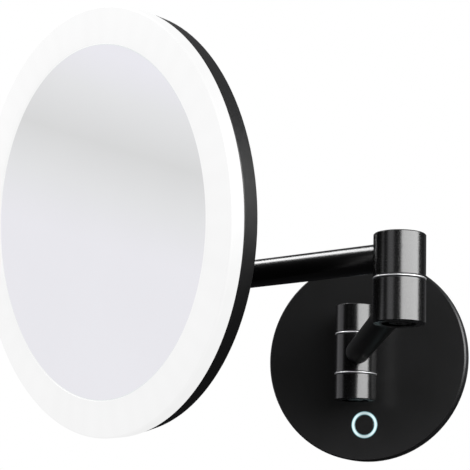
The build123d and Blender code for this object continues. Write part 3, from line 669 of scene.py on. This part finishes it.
# ------------------------------------------------------------------ touch switch
# A light ring of clear acrylic, frosted on its face and lit cool white from behind, round a
# black pad. Behind them are the touch board with its small lights, the driver and the terminals.
low_corner, high_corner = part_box("touch_light_ring")
touch_z = (low_corner.z + high_corner.z) / 2
touch = place_at((0, 0, touch_z), (1, 0, 0), (0, -1, 0))
TOUCH_LIP = 0.0012
TOUCH_LIP_DROP = 0.00185
inner, lip, low, high = reach("touch_light_ring", touch)
face_r = lip - TOUCH_LIP
lip_top = high - TOUCH_LIP_DROP
touch_glow = turned(
    "touch_glow",
    touch,
    rounded(
        [
            (inner, low, 0),
            (lip, low, 0.0002),
            (lip, lip_top, 0.0002),
            (face_r, lip_top, 0),
            (face_r, high, 0.0004),
            (inner, high, 0.0004),
        ]
    ),
)
ring_light, tree, shader = finish("ring_light", Roughness=0.35, Emission_Strength=1.0)
middle = (inner + face_r) / 2
radius = placed(tree, axis_place, Origin=(0, 0, touch_z), Axis=(0, 1, 0))["Out"]
off_middle = maths(tree, "ABSOLUTE", maths(tree, "SUBTRACT", radius, middle))
glow = ramp(
    tree,
    maths(tree, "DIVIDE", off_middle, face_r - middle),
    (0.0, (0.84, 0.99, 1.0)),
    (0.45, (0.70, 0.92, 0.97)),
    (0.70, (0.12, 0.34, 0.37)),
    (0.88, (0.005, 0.015, 0.018)),
)
sideways = node(tree, "ShaderNodeSeparateXYZ", {0: object_place(tree)}).outputs["X"]
off_side = maths(tree, "DIVIDE", maths(tree, "ABSOLUTE", sideways), middle)
lamp_side = span(tree, off_side, 0.1, 0.9, 0.62, 1.0)
glow = node(tree, "ShaderNodeVectorMath", {0: glow, "Scale": lamp_side}, operation="SCALE")
grain = placed(tree, fine_grain, Scale=900.0, Patch_Scale=300.0)
frosted = patchy(tree, grain, (0.03, 0.04, 0.042), (0.05, 0.06, 0.062))
feed(tree, shader, {"Emission Color": glow.outputs["Vector"], "Base Color": frosted})
bump(tree, shader, grain["Grain"], 0.000006)
handed_over(touch_glow, ring_light, "wall_base", "lit_acrylic", "touch_light_ring")

inner, outer, low, high = reach("touch_disc", touch)
touch_pad = turned(
    "touch_pad",
    touch,
    rounded(
        [
            (0, low, 0),
            (outer, low, 0),
            (outer, high, 0.0003),
            (outer * 0.72, high - 0.00006, 0.01),
            (0, high - 0.0002, 0),
        ]
    ),
)
handed_over(touch_pad, cover_coat, "wall_base", "satin_black", "touch_disc")


def board(name, mask, copper, scale):
    """A circuit board: a solder mask with straight tracks that show through it."""
    material, tree, shader = finish(name, Coat_Roughness=0.2)
    squares = node(
        tree,
        "ShaderNodeTexVoronoi",
        {"Vector": object_place(tree), "Scale": scale, "Randomness": 0.8},
        distance="CHEBYCHEV",
        feature="F2",
    )
    tracks = span(tree, squares.outputs["Distance"], 0.52, 0.60)
    grain = placed(tree, fine_grain, Scale=2000.0, Patch_Scale=200.0)
    rough = span(tree, grain["Patches"], 0.3, 0.7, 0.30, 0.42)
    feed(tree, shader, {"Base Color": mixed(tree, tracks, mask, copper), "Roughness": rough})
    bump(tree, shader, tracks, 0.00003)
    return material


paint(board("green_board", (0.010, 0.10, 0.035), (0.03, 0.20, 0.07), 420.0), "touch_board")
paint(board("white_board", (0.80, 0.80, 0.78), (0.70, 0.68, 0.60), 260.0), "led_board")

moulded_black, tree, shader = finish("moulded_black", IOR=1.48)
grain = placed(tree, fine_grain, Scale=1200.0, Patch_Scale=100.0)
worn = placed(tree, edge_wear, Width=0.0003)["Worn"]
tone = patchy(tree, grain, (0.014, 0.014, 0.015), (0.028, 0.028, 0.030))
edge = mixed(tree, maths(tree, "MULTIPLY", worn, 0.3), tone, (0.1, 0.1, 0.1))
feed(tree, shader, {"Base Color": edge, "Roughness": span(tree, grain["Grain"], 0.3, 0.7, 0.42, 0.56)})
bump(tree, shader, grain["Grain"], 0.00002)
paint(moulded_black, "led_driver", "terminal_block", "touch_sensor")


# ------------------------------------------------------------------ fork and tilt hinge
# The fork is milled from a barrel of the same size and holds the tilt pin between its ears.
# A hexagonal nut with both faces chamfered locks the pin on its far side.
tilt_at = Vector(joint_of["head_tilt"]["pos_m"])
tilt_axis = Vector(joint_of["head_tilt"]["axis"])
tilt = place_at(tilt_at, (0, 0, 1), tilt_axis)
inner, outer, low, high = reach("tilt_nut", tilt)
nut_across = outer * math.sqrt(3)
flats = outer * 0.866 + 0.0001
NUT_CHAMFER = 0.00025
NUT_MARGIN = 0.001
nut_round = turned(
    "tilt_lock_nut",
    tilt,
    [
        (inner, low),
        (flats, low),
        (outer, low + NUT_CHAMFER),
        (outer, high - NUT_CHAMFER),
        (flats, high),
        (inner, high),
    ],
    steps=96,
)
nut_flats = hexagon("nut_flats", tilt, nut_across, low - NUT_MARGIN, high + NUT_MARGIN)
tilt_lock_nut = cut(nut_round, "INTERSECT", nut_flats)
handed_over(tilt_lock_nut, bright_steel, "head_yoke", "bright_steel", "tilt_nut")


# ------------------------------------------------------------------ head mount
# A zinc casting with the tilt barrel, a neck and a round flange, coated black. Four socket cap
# screws with knurled heads hold it through the case to the backing plate.
glass_face = max(nodes["mirror_glass"].data.polygons, key=lambda face: face.area).normal
glass_axis = glass_face.copy() if glass_face.y < 0 else -glass_face
low_corner, high_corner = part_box("mirror_glass")
head = place_at((low_corner + high_corner) / 2, tilt_axis, glass_axis)
head = head @ Matrix.Translation((0, 0, reach("diffuser_ring", head)[3]))
head_axis = {"Origin": tuple(head.translation), "Axis": tuple(glass_axis)}
cast_coat = black_coat("cast_coat", 0.40, 1300.0, 0.00003, tone=0.005, wear_and_highlight=0.15)
paint(cast_coat, "head_mount")


def geometry_tree(name, inputs):
    """A geometry node tree with named inputs, given as (label, socket type, value)."""
    tree = bpy.data.node_groups.new(name, "GeometryNodeTree")
    tree.interface.new_socket("Geometry", in_out="INPUT", socket_type="NodeSocketGeometry")
    tree.interface.new_socket("Geometry", in_out="OUTPUT", socket_type="NodeSocketGeometry")
    for label, kind, value in inputs:
        socket = tree.interface.new_socket(label, in_out="INPUT", socket_type=kind)
        if value is not None:
            socket.default_value = value
    return tree, tree.nodes.new("NodeGroupInput").outputs, tree.nodes.new("NodeGroupOutput")


# Copies of one piece set out in a ring, each turned to face outwards
ring_of, ring_in, ring_out = geometry_tree(
    "ring_of_copies",
    [
        ("Count", "NodeSocketInt", 4),
        ("Radius", "NodeSocketFloat", 0.016),
        ("First Angle", "NodeSocketFloat", 0.0),
        ("Finish", "NodeSocketMaterial", None),
    ],
)
number = ring_of.nodes.new("GeometryNodeInputIndex").outputs["Index"]
share = maths(ring_of, "DIVIDE", number, ring_in["Count"])
turn = maths(ring_of, "MULTIPLY_ADD", share, 2 * math.pi, ring_in["First Angle"])
spot = node(
    ring_of,
    "ShaderNodeCombineXYZ",
    {
        "X": maths(ring_of, "MULTIPLY", maths(ring_of, "COSINE", turn), ring_in["Radius"]),
        "Y": maths(ring_of, "MULTIPLY", maths(ring_of, "SINE", turn), ring_in["Radius"]),
    },
)
spots = node(ring_of, "GeometryNodePoints", {"Count": ring_in["Count"], "Position": spot.outputs["Vector"]})
facing = node(
    ring_of,
    "FunctionNodeEulerToRotation",
    {"Euler": node(ring_of, "ShaderNodeCombineXYZ", {"Z": turn}).outputs["Vector"]},
)
copies = node(
    ring_of,
    "GeometryNodeInstanceOnPoints",
    {"Points": spots.outputs[0], "Instance": ring_in["Geometry"], "Rotation": facing.outputs["Rotation"]},
)
solid = node(ring_of, "GeometryNodeRealizeInstances", {"Geometry": copies.outputs["Instances"]})
finished = node(
    ring_of,
    "GeometryNodeSetMaterial",
    {"Geometry": solid.outputs["Geometry"], "Material": ring_in["Finish"]},
)
feed(ring_of, ring_out, {"Geometry": finished.outputs["Geometry"]})


def set_out(piece, place, tree, **values):
    """Runs a node tree on a piece made at the origin, and puts the result in its place."""
    modifier = piece.modifiers.new("set_out", "NODES")
    modifier.node_group = tree
    for item in tree.interface.items_tree:
        label = item.name.replace(" ", "_")
        if item.in_out == "INPUT" and label in values:
            modifier[item.identifier] = values[label]
    evaluated = piece.evaluated_get(bpy.context.evaluated_depsgraph_get())
    piece.data = bpy.data.meshes.new_from_object(evaluated)
    piece.modifiers.remove(modifier)
    piece.data.transform(place)
    return piece


def ring_sizes(name, place):
    """The ring that a node's copies stand on, from the middle of its inner and outer reach."""
    inner, outer, low, high = reach(name, place)
    return (inner + outer) / 2, (outer - inner) / 2, low, high


CAP_H = 0.0022
CAP_SHANK_R = 0.002
KNURL = 0.00012
MOUNT_SCREWS = 4
screw_ring, head_r, low, high = ring_sizes("head_mount_screws", head)
screw_seat = low + CAP_H
at_origin = Matrix.Identity(4)
one_screw = socket_screw(
    "mount_cap_screws", at_origin, head_r, CAP_H, CAP_SHANK_R, high - screw_seat, M4_SOCKET, knurl=KNURL
)
one_screw.data.transform(Matrix.Rotation(math.pi, 4, "X"))
mount_cap_screws = set_out(
    one_screw,
    head @ Matrix.Translation((0, 0, screw_seat)),
    ring_of,
    Count=MOUNT_SCREWS,
    Radius=screw_ring,
    First_Angle=math.pi / 4,
    Finish=blackened_steel,
)
handed_over(mount_cap_screws, blackened_steel, "mirror_head", "blackened_steel", "head_mount_screws")


# ------------------------------------------------------------------ rear case
# A deep-drawn aluminium dish with a slightly tapered side, turned and anodised satin black. A
# rubber ring seals it to the light ring. It is the dark band round the head's edge.
case_coat = black_coat(
    "case_coat",
    0.38,
    2400.0,
    0.00003,
    tone=0.003,
    wear_and_highlight=0.0,
    marks=(head_axis["Origin"], head_axis["Axis"], 1800.0),
    ior=1.6,
)
paint(case_coat, "rear_case")
inner, outer, low, high = reach("case_seal", head)
case_gasket = turned(
    "case_gasket",
    head,
    rounded([(inner, low, 0), (outer, low, 0.00015), (outer, high, 0.00015), (inner, high, 0)]),
    steps=256,
)
handed_over(case_gasket, moulded_rubber, "mirror_head", "rubber", "case_seal")


# ------------------------------------------------------------------ lights inside the head
# A white plastic tray throws the light forward. The ring-shaped board on its floor carries 48
# small lights, each a white package with a yellow phosphor window and two soldered feet.
white_tray, tree, shader = finish("white_tray", IOR=1.46)
grain = placed(tree, fine_grain, Scale=900.0, Patch_Scale=60.0)
tone = patchy(tree, grain, (0.80, 0.80, 0.80), (0.88, 0.88, 0.87))
feed(tree, shader, {"Base Color": tone, "Roughness": span(tree, grain["Grain"], 0.3, 0.7, 0.45, 0.6)})
bump(tree, shader, grain["Grain"], 0.00001)
paint(white_tray, "reflector_ring")

LED_COUNT = 48
LED_W = 0.0028
LED_L = 0.0035
led_ring, _, low, high = ring_sizes("leds", head)
led_h = high - low


def led_package():
    """One light: a package with chamfered top edges, a sunk window, and two feet."""
    build = bmesh.new()
    bmesh.ops.create_cube(build, size=1, matrix=Matrix.Diagonal((LED_W, LED_L * 0.9, led_h, 1)))
    top = [face for face in build.faces if face.normal.z > 0.5]
    bmesh.ops.bevel(
        build,
        geom=[edge for face in top for edge in face.edges],
        offset=0.0002,
        segments=1,
        affect="EDGES",
    )
    window = max(build.faces, key=lambda face: face.calc_center_median().z)
    bmesh.ops.inset_individual(build, faces=[window], thickness=0.0004)
    bmesh.ops.translate(build, verts=window.verts, vec=(0, 0, -0.00015))
    for side in (-1, 1):
        foot_at = Matrix.Translation((0, side * LED_L * 0.475, -led_h * 0.35))
        foot_size = Matrix.Diagonal((LED_W * 0.7, LED_L * 0.05, led_h * 0.3, 1))
        bmesh.ops.create_cube(build, size=1, matrix=foot_at @ foot_size)
    data = bpy.data.meshes.new("led_package")
    build.to_mesh(data)
    build.free()
    data.transform(Matrix.Translation((0, 0, led_h / 2)))
    return data


led_face, tree, shader = finish("led_face", Roughness=0.3)
spot = placed(tree, axis_place, **head_axis)
off_ring = maths(tree, "ABSOLUTE", maths(tree, "SUBTRACT", spot["Out"], led_ring))
on_ring = span(tree, off_ring, LED_W * 0.36, LED_W * 0.30)
on_top = span(tree, spot["Along"], high - 0.0003, high - 0.0002)
grain = placed(tree, fine_grain, Scale=3000.0, Patch_Scale=500.0)
phosphor = patchy(tree, grain, (0.82, 0.62, 0.10), (0.95, 0.78, 0.22))
package = mixed(tree, maths(tree, "MULTIPLY", on_ring, on_top), (0.86, 0.86, 0.84), phosphor)
feed(tree, shader, {"Base Color": package})
bump(tree, shader, grain["Grain"], 0.000004)
paint(led_face, "touch_leds")

led_packages = set_out(
    link("led_packages", led_package()),
    head @ Matrix.Translation((0, 0, low)),
    ring_of,
    Count=LED_COUNT,
    Radius=led_ring,
    First_Angle=0.0,
    Finish=led_face,
)
handed_over(led_packages, led_face, "mirror_head", "led_chip", "leds")


# ------------------------------------------------------------------ light ring
# A moulded ring of opal acrylic, lit from inside: its face, its rounded outer edge and its side
# glow white. A lip at its inner edge carries the mirror. The light is a shade weaker between
# the lights behind it and towards the mirror. Painted shade also dims the glow a few per cent
# towards one edge across the ring's height, and a little on its side against its face.
OPAL_WALL = 0.0022
OPAL_LIP = 0.0011
OPAL_FADE = 0.006
CARRIER_GAP = 0.0003
LIP_GAP = 0.0001
inner, outer, low, high = reach("diffuser_ring", head)
wall_r = reach("mirror_carrier", head)[1] + CARRIER_GAP
lip_low = low + LIP_GAP
lip_high = lip_low + OPAL_LIP
opal_ring = turned(
    "opal_ring",
    head,
    rounded(
        [
            (wall_r, high, 0.0004),
            (outer, high, 0.0009),
            (outer, low, 0.0002),
            (outer - OPAL_WALL, low, 0),
            (outer - OPAL_WALL, high - OPAL_WALL, 0.0008),
            (wall_r + OPAL_WALL, high - OPAL_WALL, 0.0008),
            (wall_r + OPAL_WALL, lip_low, 0),
            (inner, lip_low, 0),
            (inner, lip_high, 0),
            (wall_r, lip_high, 0),
        ]
    ),
    steps=288,
)
lit_opal, tree, shader = finish("lit_opal", Roughness=0.5, IOR=1.4, Emission_Strength=0.91)
spot = placed(tree, axis_place, **head_axis)
from_head = vectors(tree, "SUBTRACT", object_place(tree), head_axis["Origin"])["Vector"]
sideways, upwards = (
    vectors(tree, "DOT_PRODUCT", from_head, tuple(head.col[axis].xyz))["Value"] for axis in (0, 1)
)
turn = maths(tree, "ARCTAN2", upwards, sideways)
beat = maths(tree, "COSINE", maths(tree, "MULTIPLY", turn, float(LED_COUNT)))
fall_off_and_painted_shade = span(tree, spot["Out"], wall_r, wall_r + OPAL_FADE, 0.99, 1.0)
# Painted shade: the glow falls a few per cent across the ring's height, towards one edge
fall_off_and_painted_shade = maths(tree, "MULTIPLY", fall_off_and_painted_shade, span(tree, upwards, -outer, outer, 0.965, 1.0))
# Painted shade: the ring's side glows a shade darker than its face
painted_side_shade = span(tree, spot["Along"], -0.0004, -0.0016, 1.0, 0.98)
strength = maths(tree, "MULTIPLY", maths(tree, "MULTIPLY_ADD", beat, 0.004, fall_off_and_painted_shade), painted_side_shade)
grain = placed(tree, fine_grain, Scale=900.0, Patch_Scale=25.0)
strength = maths(tree, "MULTIPLY", strength, span(tree, grain["Patches"], 0.3, 0.7, 0.992, 1.004))
glow = node(tree, "ShaderNodeCombineColor", dict.fromkeys(range(3), strength)).outputs["Color"]
opal = patchy(tree, grain, (0.025,) * 3, (0.032,) * 3)
feed(tree, shader, {"Emission Color": glow, "Base Color": opal})
bump(tree, shader, grain["Grain"], 0.000004)
handed_over(opal_ring, lit_opal, "mirror_head", "lit_opal", "diffuser_ring")


# ------------------------------------------------------------------ mirror
# A round pane of silvered glass with a ground and polished arris, taped to an aluminium
# carrier, which four countersunk screws hold to the posts of the case.
mill_aluminium = steel("mill_aluminium", 0.55, 0.66, 0.36, 1800.0)
paint(mill_aluminium, "mirror_carrier")
foam_tape, tree, shader = finish("foam_tape", Specular_IOR_Level=0.2)
cells = node(tree, "ShaderNodeTexVoronoi", {"Vector": object_place(tree), "Scale": 2600.0})
cells = cells.outputs["Distance"]
tone = ramp(tree, cells, (0.1, (0.05, 0.05, 0.05)), (0.6, (0.17, 0.17, 0.17)))
feed(tree, shader, {"Base Color": tone, "Roughness": span(tree, cells, 0.0, 0.6, 0.75, 0.9)})
bump(tree, shader, cells, 0.00006)
paint(foam_tape, "glass_tape")

SINK_H = 0.0013
SINK_TAPER = 0.0012
M3_SHANK_R = 0.0015
M3_SOCKET = 0.0025
CARRIER_SCREWS = 4
screw_ring, head_r, low, high = ring_sizes("carrier_screws", head)
shank_l = high - low - SINK_H
one_screw = socket_screw(
    "carrier_screw_set", at_origin, head_r, SINK_H, M3_SHANK_R, shank_l, M3_SOCKET, sink=SINK_TAPER
)
carrier_screw_set = set_out(
    one_screw,
    head @ Matrix.Translation((0, 0, high - SINK_H)),
    ring_of,
    Count=CARRIER_SCREWS,
    Radius=screw_ring,
    First_Angle=math.pi / 4,
    Finish=bright_steel,
)
handed_over(carrier_screw_set, bright_steel, "mirror_head", "bright_steel", "carrier_screws")

ARRIS = 0.00025
inner, outer, low, high = reach("mirror_glass", head)
mirror_pane = turned(
    "mirror_pane",
    head,
    [
        (0, low),
        (outer - ARRIS, low),
        (outer, low + ARRIS),
        (outer, high - ARRIS),
        (outer - ARRIS, high),
        (0, high),
    ],
    steps=288,
)
silvered, tree, shader = finish("silvered_glass", Metallic=1.0)
edge = span(tree, placed(tree, axis_place, **head_axis)["Out"], outer - ARRIS * 2, outer - ARRIS)
haze = placed(tree, fine_grain, Scale=120.0, Patch_Scale=14.0)
silver = patchy(tree, haze, (0.915, 0.92, 0.925), (0.93, 0.935, 0.94))
glass_tone = mixed(tree, edge, silver, (0.88, 0.92, 0.91))
dull = maths(tree, "MULTIPLY_ADD", edge, 0.12, span(tree, haze["Patches"], 0.35, 0.75, 0.012, 0.03))
feed(tree, shader, {"Base Color": glass_tone, "Roughness": dull})
handed_over(mirror_pane, silvered, "mirror_head", "mirror_glass", "mirror_glass")
